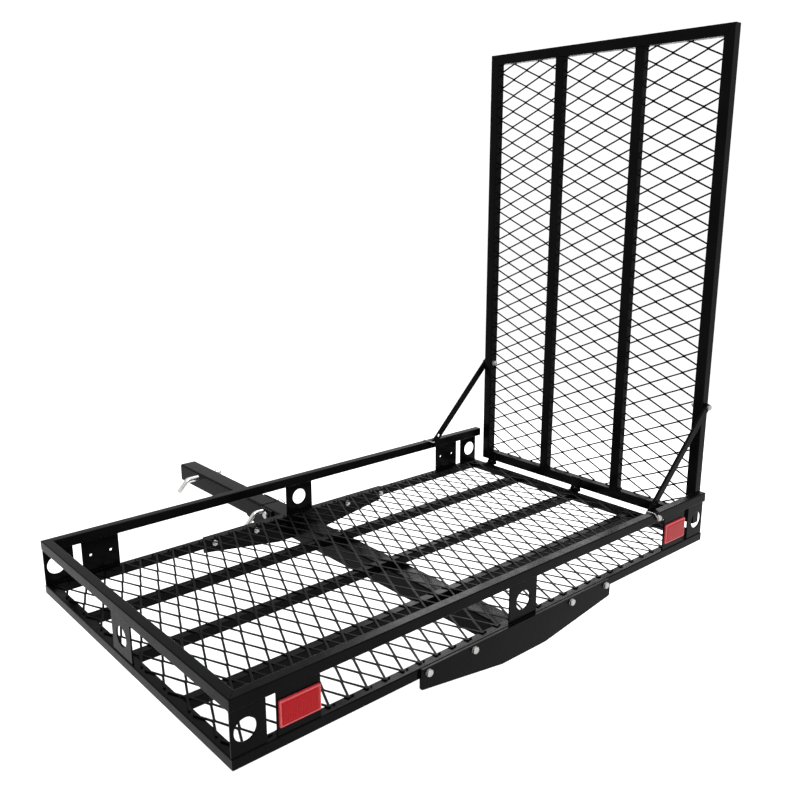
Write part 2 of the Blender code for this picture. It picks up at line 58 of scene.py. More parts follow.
BRACE_TOP = (1289.5, 318)
BRACE_R = 8.5
RAMP_X0, RAMP_X1 = 1277.0, 1302.0
RAMP_Z0, RAMP_Z1 = 29.7, 1150.0
RAMP_Y0, RAMP_Y1 = 28.5, 721.5
HINGE_AT = (1274.5, 24.5)
HINGE_YS = (70.0, 375.0, 680.0)
BOLT_XS = (-252.0, -139.0, 139.0, 252.0)     # gusset bolts, from the middle of the platform
DECK_DIAMOND, DECK_STRAND = (39.2, 85.0), 4.2      # short and long way, width of a strand
RAMP_DIAMOND, RAMP_STRAND = (39.97, 86.0), 3.6
FLOOR_Z = -0.42                              # the studio values are in row metres and degrees
CAMERA_AT, CAMERA_LENS = (-534.1, -984.4, 835.2), 39.248      # platform millimetres
AZIMUTH, ELEVATION, ROLL = -41.059, 14.279, -0.112
LAMPS = (("key", (-0.7, -3.4, 3.2), 1.2, 75.0),
         ("top", (0.4, -1.6, 4.6), 3.0, 60.0),
         ("sheen", (1.7, 0.2, 1.6), 1.5, 55.0))
LAMP_TARGET = (0.1, -0.8, 0.1)
AX = {"x": (0, 1, 2), "y": (1, 0, 2), "z": (2, 0, 1)}


def row(point):
    """Platform millimetres to row metres."""
    return (Vector(point) - DATUM) / 1000.0


# ------------------------------------------------------------------ materials
class Nodes:
    """Small builder for one procedural material."""

    def __init__(self, name, colour, roughness, metallic=0.0, **extra):
        self.mat = bpy.data.materials.new(name)
        self.mat.use_nodes = True
        self.tree = self.mat.node_tree
        self.shader = self.tree.nodes["Principled BSDF"]
        self.shader.inputs["Base Color"].default_value = (*colour, 1)
        self.shader.inputs["Roughness"].default_value = roughness
        self.shader.inputs["Metallic"].default_value = metallic
        for key, value in extra.items():
            self.shader.inputs[key.replace("_", " ")].default_value = value
        self.coords = self.tree.nodes.new("ShaderNodeTexCoord").outputs["Object"]

    def add(self, kind, **sockets):
        node = self.tree.nodes.new("ShaderNode" + kind)
        for key, value in sockets.items():
            socket = node.inputs[key.replace("_", " ")]
            if isinstance(value, bpy.types.NodeSocket):
                self.tree.links.new(value, socket)
            else:
                socket.default_value = value
        return node

    def noise(self, scale, detail=3.0, vector=None):
        return self.add("TexNoise", Vector=vector or self.coords, Scale=scale,
                        Detail=detail).outputs["Fac"]

    def ramp(self, value, *stops):
        node = self.add("ValToRGB", Fac=value)
        for element, (at, level) in zip(node.color_ramp.elements, stops):
            element.position = at
            element.color = (*(level if isinstance(level, tuple) else (level,) * 3), 1)
        return node.outputs["Color"]

    def link(self, socket, name):
        self.tree.links.new(socket, self.shader.inputs[name])
        return self

    def bump(self, *layers):
        normal = None
        for height, strength, distance in layers:
            node = self.add("Bump", Height=height, Strength=strength, Distance=distance)
            if normal:
                self.tree.links.new(normal, node.inputs["Normal"])
            normal = node.outputs["Normal"]
        self.tree.links.new(normal, self.shader.inputs["Normal"])
        return self


def powder_coat(name, dark, light, roughness):
    """Semi-gloss powder coat: fine orange peel over slow waves, with faint dust."""
    m = Nodes(name, dark, roughness, 0.0, Specular_IOR_Level=0.035)
    dust = m.noise(9.0, 5.0)
    m.link(m.ramp(dust, (0.35, dark), (0.75, light)), "Base Color")
    m.link(m.ramp(m.noise(55.0, 4.0), (0.3, roughness - 0.06), (0.7, roughness + 0.08)),
           "Roughness")
    return m.bump((m.noise(900.0, 2.0), 0.14, 0.0003), (m.noise(70.0, 2.0), 0.12, 0.0006)).mat


def zinc(name, colour, roughness):
    """Bright zinc plate: spangled roughness, faint yellowing and machining marks."""
    m = Nodes(name, colour, roughness, 1.0)
    tint = tuple(c * k for c, k in zip(colour, (0.86, 0.83, 0.76)))
    m.link(m.ramp(m.noise(120.0, 4.0), (0.35, tint), (0.65, colour)), "Base Color")
    m.link(m.ramp(m.noise(400.0, 3.0), (0.3, roughness - 0.05), (0.7, roughness + 0.12)),
           "Roughness")
    return m.bump((m.noise(1500.0, 2.0), 0.15, 0.0002)).mat


def reflector_red():
    """Red reflex lens: rows of tiny cube-corner prisms under a clear face."""
    m = Nodes("reflector_lens", (0.40, 0.006, 0.010), 0.2, 0.0, Specular_IOR_Level=0.07)
    cells = m.add("TexVoronoi", Vector=m.coords, Scale=330.0, Randomness=0.0)
    m.link(m.ramp(cells.outputs["Distance"], (0.05, (0.42, 0.010, 0.014)), (0.6, (0.19, 0.0, 0.002))),
           "Base Color")
    m.link(m.ramp(m.noise(260.0), (0.3, 0.08), (0.7, 0.2)), "Roughness")
    return m.bump((cells.outputs["Distance"], 0.7, 0.0012)).mat


def pale_floor():
    m = Nodes("studio_floor", (0.86, 0.86, 0.86), 0.7)
    m.link(m.ramp(m.noise(3.0), (0.3, 0.93), (0.7, 0.95)), "Base Color")
    return m.mat


BLACK = powder_coat("black_powder_coat", (0.0008, 0.0008, 0.0009), (0.0022, 0.0022, 0.0024), 0.24)
# The mesh coat is a darker copy of the black powder coat: painted shade that keeps the deck and ramp strands
# black where the sheen lamp lights them.
MESH = powder_coat("black_mesh_coat_painted_shade", (0.0006, 0.0006, 0.0007), (0.0016, 0.0016, 0.0017), 0.40)
PLASTIC = powder_coat("black_plastic", (0.002, 0.002, 0.002), (0.004, 0.004, 0.004), 0.45)
ZINC = zinc("zinc_plate", (0.36, 0.36, 0.365), 0.28)
CHROME = zinc("bright_pin", (0.62, 0.62, 0.63), 0.16)
RED = reflector_red()
RIM = Nodes("reflector_rim", (0.50, 0.03, 0.035), 0.22)
RIM = RIM.link(RIM.ramp(RIM.noise(300.0), (0.3, (0.32, 0.010, 0.016)), (0.7, (0.38, 0.03, 0.035))),
               "Base Color").mat


# ------------------------------------------------------------------ making pieces
def piece(name, mesh, material, body, *nodes, weighted=True, angle=38.0):
    """A finished piece, its mesh in row metres, riding on a body in place of CAD nodes."""
    obj = bpy.data.objects.new(name, mesh)
    bpy.context.scene.collection.objects.link(obj)
    mesh.materials.clear()
    mesh.materials.append(material)
    mesh.shade_smooth()
    mesh.set_sharp_from_angle(angle=math.radians(angle))
    if weighted:
        mod = obj.modifiers.new("even_shading", "WEIGHTED_NORMAL")
        mod.keep_sharp = True
    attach(obj, body)
    if nodes:
        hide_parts(*nodes)
    return obj


def mesh_from_rings(name, strips):
    """Each strip is (rings of platform points, last ring joined to the first, ends capped)."""
    bm = bmesh.new()
    for rings, wrap, caps in strips:
        rows = [[bm.verts.new(row(p)) for p in ring] for ring in rings]
        for a, b in zip(rows, rows[1:] + (rows[:1] if wrap else [])):
            for i in range(len(a)):
                j = (i + 1) % len(a)
                bm.faces.new((a[i], a[j], b[j], b[i]))
        if caps:
            bm.faces.new(rows[0][::-1])
            bm.faces.new(rows[-1])
    bmesh.ops.recalc_face_normals(bm, faces=bm.faces)
    mesh = bpy.data.meshes.new(name)
    bm.to_mesh(mesh)
    bm.free()
    return mesh


def rounded(width, height, radius, steps=5):
    points = []
    for corner, (sx, sy) in enumerate(((1, 1), (-1, 1), (-1, -1), (1, -1))):
        for i in range(steps + 1):
            a = math.pi / 2 * (corner + i / steps)
            points.append((sx * (width / 2 - radius) + radius * math.cos(a),
                           sy * (height / 2 - radius) + radius * math.sin(a)))
    return points


def place(axis, along, c0, c1):
    """Platform point from a distance along an axis and the other two coordinates."""
    point = [0.0, 0.0, 0.0]
    order = AX[axis]
    point[order[0]], point[order[1]], point[order[2]] = along, c0, c1
    return point


def tube_mesh(name, axis, span, centre, size, wall=2.0, radius=2.2, mitre=None):
    """Square tube. mitre is (which cross axis, outer side, cut at start, cut at end)."""
    strips = []
    for shrink, r in ((0.0, radius), (wall, 0.7)):
        strips.append(rounded(size[0] - 2 * shrink, size[1] - 2 * shrink, r))
    outer, inner = strips
    (a, b), rings = span, []
    lip = 0.35
    trim = [(p[0] * (1 - 2 * lip / size[0]), p[1] * (1 - 2 * lip / size[1])) for p in outer]
    for loop, end, inset in ((inner, 0, 0.0), (trim, 0, 0.0), (outer, 0, lip), (outer, 1, lip),
                             (trim, 1, 0.0), (inner, 1, 0.0)):
        ring = []
        for point in loop:
            along = (a + inset) if end == 0 else (b - inset)
            if mitre and mitre[2 + end]:
                cut = size[mitre[0]] / 2 - mitre[1] * point[mitre[0]] + 0.12
                along += cut if end == 0 else -cut
            ring.append(place(axis, along, centre[0] + point[0], centre[1] + point[1]))
        rings.append(ring)
    return mesh_from_rings(name, [(rings, True, False)])


def tube(name, body, axis, span, centre, size, *nodes, material=None, **options):
    mesh = tube_mesh(name, axis, span, centre, size, **options)
    return piece(name + ".v", mesh, material or BLACK, body, *(nodes or (name,)))


def drill(obj, axis, at, radius, reach=80.0):
    """Round through hole in a finished piece."""
    ends = [[place(axis, at[0] + s * reach / 2, at[1] + radius * math.cos(t * math.pi / 24),
                   at[2] + radius * math.sin(t * math.pi / 24)) for t in range(48)]
            for s in (-1, 1)]
    return carve(obj, mesh_from_rings("drill", [(ends, False, True)]))


def carve(obj, mesh):
    tool = bpy.data.objects.new("tool", mesh)
    bpy.context.scene.collection.objects.link(tool)
    mod = obj.modifiers.new("hole", "BOOLEAN")
    mod.object, mod.solver, mod.operation = tool, "EXACT", "DIFFERENCE"
    for other in obj.modifiers:
        if other.type == "WEIGHTED_NORMAL":
            other.show_viewport = False
    graph = bpy.context.evaluated_depsgraph_get()
    graph.update()
    result = bpy.data.meshes.new_from_object(obj.evaluated_get(graph))
    obj.modifiers.remove(mod)
    obj.data = result
    result.shade_smooth()
    result.set_sharp_from_angle(angle=math.radians(38))
    for other in obj.modifiers:
        other.show_viewport = True
    bpy.data.objects.remove(tool)
    return obj


def curve_mesh(name, loops, half, bevel, matrix):
    """Flat plate with holes and softened edges; local x, y are the outline, z the thickness."""
    curve = bpy.data.curves.new(name, "CURVE")
    curve.dimensions, curve.fill_mode = "2D", "BOTH"
    curve.extrude, curve.bevel_depth, curve.bevel_resolution = half - bevel, bevel, 1
    curve.offset = -bevel
    for loop in loops:
        spline = curve.splines.new("POLY")
        spline.points.add(len(loop) - 1)
        for point, (x, y) in zip(spline.points, loop):
            point.co = (x, y, 0, 1)
        spline.use_cyclic_u = True
    guide = bpy.data.objects.new(name, curve)
    bpy.context.scene.collection.objects.link(guide)
    graph = bpy.context.evaluated_depsgraph_get()
    mesh = bpy.data.meshes.new_from_object(guide.evaluated_get(graph))
    bpy.data.objects.remove(guide)
    bpy.data.curves.remove(curve)
    bm = bmesh.new()
    bm.from_mesh(mesh)
    bmesh.ops.remove_doubles(bm, verts=bm.verts, dist=1e-4)
    bm.transform(Matrix.Diagonal((0.001, 0.001, 0.001, 1)) @ Matrix.Translation(-DATUM) @ matrix)
    bmesh.ops.recalc_face_normals(bm, faces=bm.faces)
    bm.to_mesh(mesh)
    bm.free()
    return mesh


FACING = {"x": Matrix(((0, 0, 1, 0), (1, 0, 0, 0), (0, 1, 0, 0), (0, 0, 0, 1))),
          "y": Matrix(((1, 0, 0, 0), (0, 0, -1, 0), (0, 1, 0, 0), (0, 0, 0, 1))),
          "z": Matrix.Identity(4)}


def plate(name, body, axis, at, loops, thick, *nodes, bevel=0.4, material=None, turn=0.0):
    matrix = Matrix.Translation(at) @ FACING[axis] @ Matrix.Rotation(turn, 4, "Z")
    mesh = curve_mesh(name, loops, thick / 2, bevel, matrix)
    return piece(name + ".v", mesh, material or BLACK, body, *(nodes or (name,)))


def circle(radius, count=48, cx=0.0, cy=0.0):
    return [(cx + radius * math.cos(2 * math.pi * i / count),
             cy + radius * math.sin(2 * math.pi * i / count)) for i in range(count)]


def soft(loop, radius=3.0, steps=4):
    """The same outline with its corners rounded."""
    points, count = [], len(loop)
    for i, p in enumerate(loop):
        here = Vector(p)
        before, after = Vector(loop[i - 1]) - here, Vector(loop[(i + 1) % count]) - here
        cut = min(radius, before.length / 2.2, after.length / 2.2)
        a, b = here + before.normalized() * cut, here + after.normalized() * cut
        for k in range(steps + 1):
            t = k / steps
            q = a * (1 - t) ** 2 + here * 2 * t * (1 - t) + b * t ** 2
            points.append((q.x, q.y))
    return points


def spun(at, axis, sign, profile, count=48):
    """Turned piece along an axis. profile is (distance, radius, hex half flats or 0)."""
    rings = []
    for along, radius, flats in profile:
        ring = []
        for i in range(count):
            a = 2 * math.pi * i / count
            r = radius
            if flats:
                fold = (a + math.pi / 6) % (math.pi / 3) - math.pi / 6
                r = min(radius, flats / math.cos(fold))
            p = place(axis, 0.0, r * math.cos(a), r * math.sin(a))
            step = place(axis, sign * along, 0.0, 0.0)
            ring.append([at[k] + p[k] + step[k] for k in range(3)])
        rings.append(ring)
    return (rings, False, True)


def hex_head(at, axis, sign, flats, high, start=0.0):
    top = flats / math.cos(math.pi / 6)
    return spun(at, axis, sign,
                [(start, 0.97 * flats, 0), (start + 0.5, 0.97 * flats, 0), (start + 0.5, top, flats),
                 (start + high - 1.1, top, flats), (start + high - 0.5, 1.03 * flats, flats),
                 (start + high, 0.93 * flats, flats), (start + high - 0.3, 0.80 * flats, 0)])


def thread(at, axis, sign, radius, start, end, pitch=1.25):
    profile, along = [(start, radius, 0)], start
    while along + pitch < end - 0.8:
        profile += [(along + pitch * 0.5, radius * 0.88, 0), (along + pitch, radius, 0)]
        along += pitch
    profile += [(end - 0.4, radius * 0.92, 0), (end, radius * 0.75, 0)]
    return spun(at, axis, sign, profile, count=24)


def washer(at, axis, sign, radius, start, thick=1.4):
    return spun(at, axis, sign, [(start, radius - 0.2, 0), (start + 0.2, radius, 0),
                                           (start + thick - 0.3, radius, 0),
                                           (start + thick, radius - 0.4, 0)])


def wire_mesh(name, points, radius, smooth=0):
    """Round wire through platform points, each end closed by a small dome."""
    path = [Vector(p) for p in points]
    for _ in range(smooth):
        finer = [path[0]]
        for a, b in zip(path, path[1:]):
            finer += [a.lerp(b, 0.25), a.lerp(b, 0.75)]
        path = finer + [path[-1]]
    rings, side = [], None
    radii = radius if callable(radius) else (lambda s: radius)
    travelled = 0.0
    for i, p in enumerate(path):
        ahead = (path[min(i + 1, len(path) - 1)] - path[max(i - 1, 0)]).normalized()
        side = (side - ahead * side.dot(ahead)).normalized() if side else ahead.orthogonal().normalized()
        up = ahead.cross(side)
        if i:
            travelled += (p - path[i - 1]).length
        r = radii(travelled)
        ring = [p + (side * math.cos(t * math.pi / 8) + up * math.sin(t * math.pi / 8)) * r
                for t in range(16)]
        if i == 0:
            rings += [[p - ahead * r * 0.28 + (q - p) * 0.7 for q in ring]]
        rings.append(ring)
        if i == len(path) - 1:
            rings += [[p + ahead * r * 0.28 + (q - p) * 0.7 for q in ring]]
    return mesh_from_rings(name, [(rings, False, True)])


def bead(name, body, *runs, radius=1.7):
    """Rippled weld beads, one per run of two platform points."""
    bm = bmesh.new()
    for a, b in runs:
        a, b = Vector(a), Vector(b)
        count = max(4, int((b - a).length / 0.7))
        line = [a.lerp(b, i / count) for i in range(count + 1)]
        mesh = wire_mesh("run", line, lambda s: radius * (0.80 + 0.20 * abs(math.sin(s * 1.25))))
        bm.from_mesh(mesh)
        bpy.data.meshes.remove(mesh)
    mesh = bpy.data.meshes.new(name)
    bm.to_mesh(mesh)
    bm.free()
    return piece(name, mesh, BLACK, body, weighted=False, angle=80)


# ------------------------------------------------------------------ expanded metal
def expanded(name, body, node, across, along, pitch, width, level, origin, to_point):
    """Raised diamond mesh. Strands run along the long way and meet their neighbours in bonds."""
    short, long_way = pitch
    thick, bond = 2.2, 4.5
    strips = []
    first = math.ceil((across[0] - origin[0]) / (short / 2) - 0.5)
    last = math.floor((across[1] - origin[0]) / (short / 2) + 0.5)
    for k in range(first, last + 1):
        base = origin[0] + (k + 0.5) * short / 2
        path = []
        half = math.floor((along[0] - origin[1]) / (long_way / 2)) - 1
        while origin[1] + half * long_way / 2 < along[1] + long_way / 2:
            centre = origin[1] + half * long_way / 2
            peak = 1 if (half + k) % 2 else -1
            for shift in (-bond / 2, bond / 2):
                path.append((base + peak * (short / 4 - width * 0.42), centre + shift, peak))
            half += 1
        for cut in clip(path, 1, along):
            for strand in clip(cut, 0, across):
                strips.append((strand_rings(strand, width, thick, level, to_point), False, True))
    return piece(name, mesh_from_rings(name, strips), MESH, body, node, angle=50)


def strand_rings(path, width, thick, level, to_point):
    """Cross-sections of one strand, its flat side tilted a little from bond to bond."""
    rings = []
    for i, (c, s, peak) in enumerate(path):
        before, after = path[max(i - 1, 0)], path[min(i + 1, len(path) - 1)]
        run = Vector((after[0] - before[0], after[1] - before[1])).normalized()
        side = Vector((run.y, -run.x)) * (width / 2)
        tilt = 0.42 * peak * thick / 2
        rings.append([to_point(c + side.x * u, s + side.y * u,
                               level + v * (thick / 2 - abs(tilt) * 0.5) + tilt * 0.5 * u)
                      for u, v in ((-1, -0.8), (-0.8, -1), (0.8, -1), (1, -0.8), (1, 0.8), (0.8, 1),
                                   (-0.8, 1), (-1, 0.8))])
    return rings


def clip(path, which, limits):
    """The stretches of a strand's path that lie between two limits of one coordinate."""
    runs, current = [], []
    for a, b in zip(path, path[1:]):
        t0, t1 = 0.0, 1.0
        step = b[which] - a[which]
        for limit, sign in ((limits[0], 1), (limits[1], -1)):
            rise, gap = sign * step, sign * (limit - a[which])
            if abs(rise) < 1e-9:
                t1 = t1 if gap <= 0 else -1.0
            elif rise > 0:
                t0 = max(t0, gap / rise)
            else:
                t1 = min(t1, gap / rise)
        if t1 - t0 < 1e-4:
            runs, current = runs + ([current] if len(current) > 1 else []), []
            continue
        ends = [tuple(p + (q - p) * t for p, q in zip(a, b)) for t in (t0, t1)]
        current = (current or [ends[0]]) + [ends[1]]
        if t1 < 1.0:
            runs, current = runs + [current], []
    return runs + ([current] if len(current) > 1 else [])


# ------------------------------------------------------------------ platform
def make_frame():
    for side, y, outer in (("front", 10.0, -1), ("rear", 740.0, 1)):
        rail = tube(f"{side}_bottom_rail", "platform", "x", (0, LENGTH), (y, 10), (RAIL, RAIL),
                    mitre=(0, outer, True, True))
        top = tube(f"{side}_top_rail", "platform", "x", (0, 1275), (y, TOP_RAIL_Z), (RAIL, TOP_RAIL_H),
                   mitre=(0, outer, True, False))
        drill(top, "y", (y, *RAIL_PIN_AT), 4.8)
        for x in BOLT_XS:
            drill(rail, "y", (y, MIDDLE_X + x, 10), M8_HOLE_R)
        plug = [rounded(15.6, 17.6, 1.0), rounded(14.4, 16.4, 1.2)]
        rings = [[(x, y + p[0], TOP_RAIL_Z + p[1]) for p in plug[k]]
                 for x, k in ((1262, 1), (1262, 0), (1273.6, 0), (1274.2, 1))]
        piece(f"{side}_rail_plug", mesh_from_rings("plug", [(rings, False, True)]), PLASTIC,
              "platform")
    for level, z, high in (("bottom", 10, RAIL), ("top", TOP_RAIL_Z, TOP_RAIL_H)):
        tube(f"left_{level}_rail", "platform", "y", (0, WIDTH), (10, z), (RAIL, high),
             mitre=(0, -1, True, True))
    tube("right_bottom_rail", "platform", "y", (0, WIDTH), (LENGTH - 10, 10), (RAIL, RAIL),
         mitre=(0, 1, True, True))
    for label, y in (("front", 187.5), ("centre", 375.0), ("rear", 562.5)):
        tube(f"deck_bar_{label}", "platform", "x", (20.3, 1249.7), (y, 10), (RAIL, RAIL))
        bead(f"deck_bar_{label}_welds", "platform",
             *[((x, y + s, 18.6), (x, y + s, 1.4)) for x in (21.2, 1248.8) for s in (-10.4, 10.4)])
    expanded("deck_expanded_metal", "platform", "deck_mesh", (10.5, 1249.5), (11, 739),
             DECK_DIAMOND, DECK_STRAND, 21.6, (183.3 - DECK_DIAMOND[0], 14.0),
             lambda c, s, h: (c, s, h))
    rng = random.Random(4)
    dabs = []
    for x in range(34, 1240, 39):
        for y in (13.0, 737.0):
            dabs.append(((x + rng.uniform(-2, 2), y, 21.4), (x + rng.uniform(3, 6), y, 21.4)))
    bead("deck_mesh_tacks", "platform", *dabs, radius=1.5)


def make_posts():
    plate_mid = 120.5
    for side, y, out in (("front", 3.5, -1), ("rear", 746.5, 1)):
        inner = y - out * 2.0
        runs = []
        for end, x0, way in (("left", 0.0, 1), ("right", LENGTH, -1)):
            mid = x0 + way * 31.2
            loops = [rounded(61.6, 75.6, 1.0, 2), circle(TIE_HOLE_R, 56, x0 + way * 26 - mid)]
            plate(f"{side}_{end}_corner_post", "platform", "y", (mid, y, POST_Z), loops, 3)
            mid = x0 + way * plate_mid
            loops = [rounded(81, 75.6, 1.0, 2)] + [circle(3, 20, s) for s in (-22, 22)]
            plate(f"{side}_{end}_reflector_plate", "platform", "y", (mid, y, POST_Z), loops, 3)
            for lo, hi in ((1, 61), (81, 160)):
                xs = sorted((x0 + way * lo, x0 + way * hi))
                runs += [((xs[0], inner, z), (xs[1], inner, z)) for z in (20.9, 95.3)]
        loops = [rounded(77, 75.6, 1.0, 2), circle(TIE_HOLE_R, 56)]
        plate(f"{side}_middle_post", "platform", "y", (MIDDLE_X, y, POST_Z), loops, 3)
        runs += [((598, inner, z), (672, inner, z)) for z in (20.9, 95.3)]
        bead(f"{side}_post_welds", "platform", *runs, radius=1.3)
    plate("left_middle_post", "platform", "x", (3.5, 375, POST_Z),
          [rounded(77, 75.6, 1.0, 2), circle(TIE_HOLE_R, 56)], 3)
    bead("left_post_welds", "platform", *[((5.5, 338, z), (5.5, 412, z)) for z in (20.9, 95.3)],
         radius=1.3)
    for end, x in (("left", 120.5), ("right", LENGTH - 120.5)):
        back, steps = 1.7, []
        for grow, depth, r in ((0, 0, 2.0), (0, -3.6, 2.0), (-1.6, -4.6, 2.0), (-6.4, -4.6, 1.2),
                               (-7.4, -3.4, 1.0)):
            steps.append([(x + p[0], back + depth, POST_Z + p[1])
                          for p in rounded(76 + grow, 45 + grow, r, 3)])
        piece(f"{end}_reflector_body", mesh_from_rings("rim", [(steps, False, True)]), RIM,
              "platform", f"{end}_reflector")
        lens = [[(x + p[0], y, POST_Z + p[1]) for p in rounded(70 + g, 39 + g, 1.5, 3)]
                for g, y in ((-2, -1.5), (-2, -2.2), (-3.5, -2.9), (-8, -3.1))]
        piece(f"{end}_reflector_lens", mesh_from_rings("lens", [(lens, False, True)]), RED,
              "platform")
        screws = []
        for side in (-22, 22):
            screws.append(spun((x + side, 5.1, POST_Z), "y", 1,
                               [(0, 4.2, 0), (0.8, 4.0, 0), (1.5, 3.0, 0), (1.9, 1.2, 0)]))
        piece(f"{end}_reflector_rivets", mesh_from_rings("rivets", screws), ZINC, "platform")


def make_beam():
    beam = tube("centre_beam", "platform", "y", (0.3, 882.5), (MIDDLE_X, SHANK_Z), (SHANK, SHANK), wall=3.0,
                radius=4.0)
    drill(beam, "x", (MIDDLE_X, *FOLD_PIN_AT), 6.4)
    carve(beam, mesh_from_rings("slot", [(slot_rings(), False, True)]))
    side = [(-269, 19.6), (-269, -19), (-62, -50)]
    front = side + [(-x, z) for x, z in reversed(side)]
    rear = side + [(-25.9, -50), (-25.9, 0.2), (25.9, 0.2), (25.9, -50)]
    rear += [(-x, z) for x, z in reversed(side)]
    for label, loop, y, out, rail in (("front", front, -2.8, -1, 20.0), ("rear", rear, 752.8, 1, 730.0)):
        rounded_loop = soft(loop, 4.0) if label == "front" else loop
        holes = [circle(M8_HOLE_R, 24, x, 10) for x in BOLT_XS]
        plate(f"{label}_gusset", "platform", "y", (MIDDLE_X, y, 0), [rounded_loop] + holes, 5)
        for number, x in enumerate(BOLT_XS, 1):
            at = (MIDDLE_X + x, y + out * 2.5, 10)
            parts = [hex_head(at, "y", out, 6.5, 4.6, 1.1), washer(at, "y", out, 7.0, 0.1, 1.1),
                     spun(at, "y", -out, [(0, M8_R, 0), (25.5, M8_R, 0)], count=24),
                     thread(at, "y", -out, M8_R, 25.5, 33.8)]
            nut = (MIDDLE_X + x, rail - out * 0.2, 10)
            parts.append(hex_head(nut, "y", -out, 6.5, 5.2))
            piece(f"{label}_gusset_bolt_{number}.v", mesh_from_rings("bolt", parts), ZINC,
                  "platform", f"{label}_gusset_bolt_{number}", angle=30)
    bead("beam_welds", "platform",
         ((609.6, 1.0, -48.5), (609.6, 1.0, -2)), ((660.4, 1.0, -48.5), (660.4, 1.0, -2)),
         *[((x, y, -0.2), (x, y + 17, -0.2)) for x in (609.8, 660.2) for y in (1.5, 731.5)],
         *[((x, 749.4, -1), (x, 749.4, -48)) for x in (609.4, 660.6)], radius=1.9)


def slot_rings():
    """Curved slot in the beam's sides that the stop bolt rides in."""
    dy, dz = STOP_AT[0] - FOLD_PIN_AT[0], STOP_AT[1] - FOLD_PIN_AT[1]
    reach, start = math.hypot(dy, dz), math.atan2(dz, dy)
    loop = []
    for k in range(17):
        a = start + math.pi / 2 * k / 16
        loop.append(((reach + SLOT_R) * math.cos(a), (reach + SLOT_R) * math.sin(a)))
    for k in range(1, 12):
        a, t = start + math.pi / 2, start + math.pi / 2 + math.pi * k / 12
        loop.append((reach * math.cos(a) + SLOT_R * math.cos(t), reach * math.sin(a) + SLOT_R * math.sin(t)))
    for k in range(17):
        a = start + math.pi / 2 * (1 - k / 16)
        loop.append(((reach - SLOT_R) * math.cos(a), (reach - SLOT_R) * math.sin(a)))
    for k in range(1, 12):
        t = start + math.pi + math.pi * k / 12
        loop.append((reach * math.cos(start) + SLOT_R * math.cos(t),
                     reach * math.sin(start) + SLOT_R * math.sin(t)))
    return [[(x, FOLD_PIN_AT[0] + y, FOLD_PIN_AT[1] + z) for y, z in loop] for x in (595, 675)]


# ------------------------------------------------------------------ shank and pins
def make_shank():
    shank = tube("hitch_shank", "shank", "y", (887.5, 1337), (MIDDLE_X, SHANK_Z), (SHANK, SHANK), wall=5.0,
                 radius=5.0)
    drill(shank, "x", (635, 1228, -14), 8.1)
    outline = soft([(-37, -2), (-37, -70), (1, -70), (86, -46.5), (86, -2)], 6.0)
    for label, x in (("left", 606.7), ("right", 663.3)):
        plate(f"{label}_pivot_cheek", "shank", "x", (x, 869, 0),
              [outline, circle(6.4, 40, 0, -10.5), circle(5.2, 24, -15, -16.5)], 6, bevel=0.8)
    bead("cheek_welds", "shank",
         *[((x, y0, z), (x, y1, z)) for x, _ in ((608.9, 0), (661.1, 0))
           for y0, y1, z in ((889, 953, -1.4), (905, 950, -50.6))], radius=1.3)
    at, far = (603.4, 854, -16.5), (666.6, 854, -16.5)
    parts = [hex_head(at, "x", -1, 8.5, 6.4, 0.3), spun(at, "x", 1, [(0, 5, 0), (70, 5, 0)]),
             thread(at, "x", 1, 5.0, 70, 78, 1.5), hex_head(far, "x", 1, 8.5, 8.0)]
    piece("stop_bolt.v", mesh_from_rings("stop_bolt", parts), ZINC, "shank", "stop_bolt", angle=30)


def make_pin(name, y, z, radius, bend, tip, clip_points):
    """Bent pin with a chamfered tip, a drilled hole and its hairpin clip."""
    angle, turn = math.radians(47), 16.0
    points = [(tip - 1, y, z), (tip - 8, y, z), (bend + 6, y, z)]
    for i in range(13):
        a = angle * i / 12
        points.append((bend - turn * math.sin(a), y, z - turn * (1 - math.cos(a))))
    end = Vector(points[-1])
    run = Vector((-math.cos(angle), 0, -math.sin(angle)))
    points += [tuple(end + run * s) for s in (12, 24, 35)]
    pin = piece(name + ".v", wire_mesh(name, points, radius), CHROME, name, name, weighted=False,
                angle=50)
    x = tip - 9
    if clip_points == "down":
        drill(pin, "z", (z, x, y), 2.0, 40)
    else:
        drill(pin, "y", (y, x, z), 2.0, 40)
    # the fold pin's clip stays flush on the side of the stop bolt's nut
    start = -radius - 0.6 if clip_points == "down" else -radius + 1.6
    line = [(start, 0.0), (radius + 14, 0.0)]
    for i in range(1, 12):
        a = math.pi * 1.18 * i / 11
        line.append((radius + 14 + 7.5 * math.sin(a), 5.8 - 5.8 * math.cos(a)))
    r = radius + 1.5
    line += [(r * 0.5 + 3, r + 1.5), (r * 0.4, r + 0.1), (-r * 0.45, r + 0.7), (-r * 0.8, r + 2.8)]
    if clip_points == "down":
        clip_line = [(x, y + side, z - out) for out, side in line]
    else:
        clip_line = [(x, y + out, z + side) for out, side in line]
    piece(name + "_clip", wire_mesh("clip", clip_line, 1.35, 2), ZINC, name, weighted=False,
          angle=60)


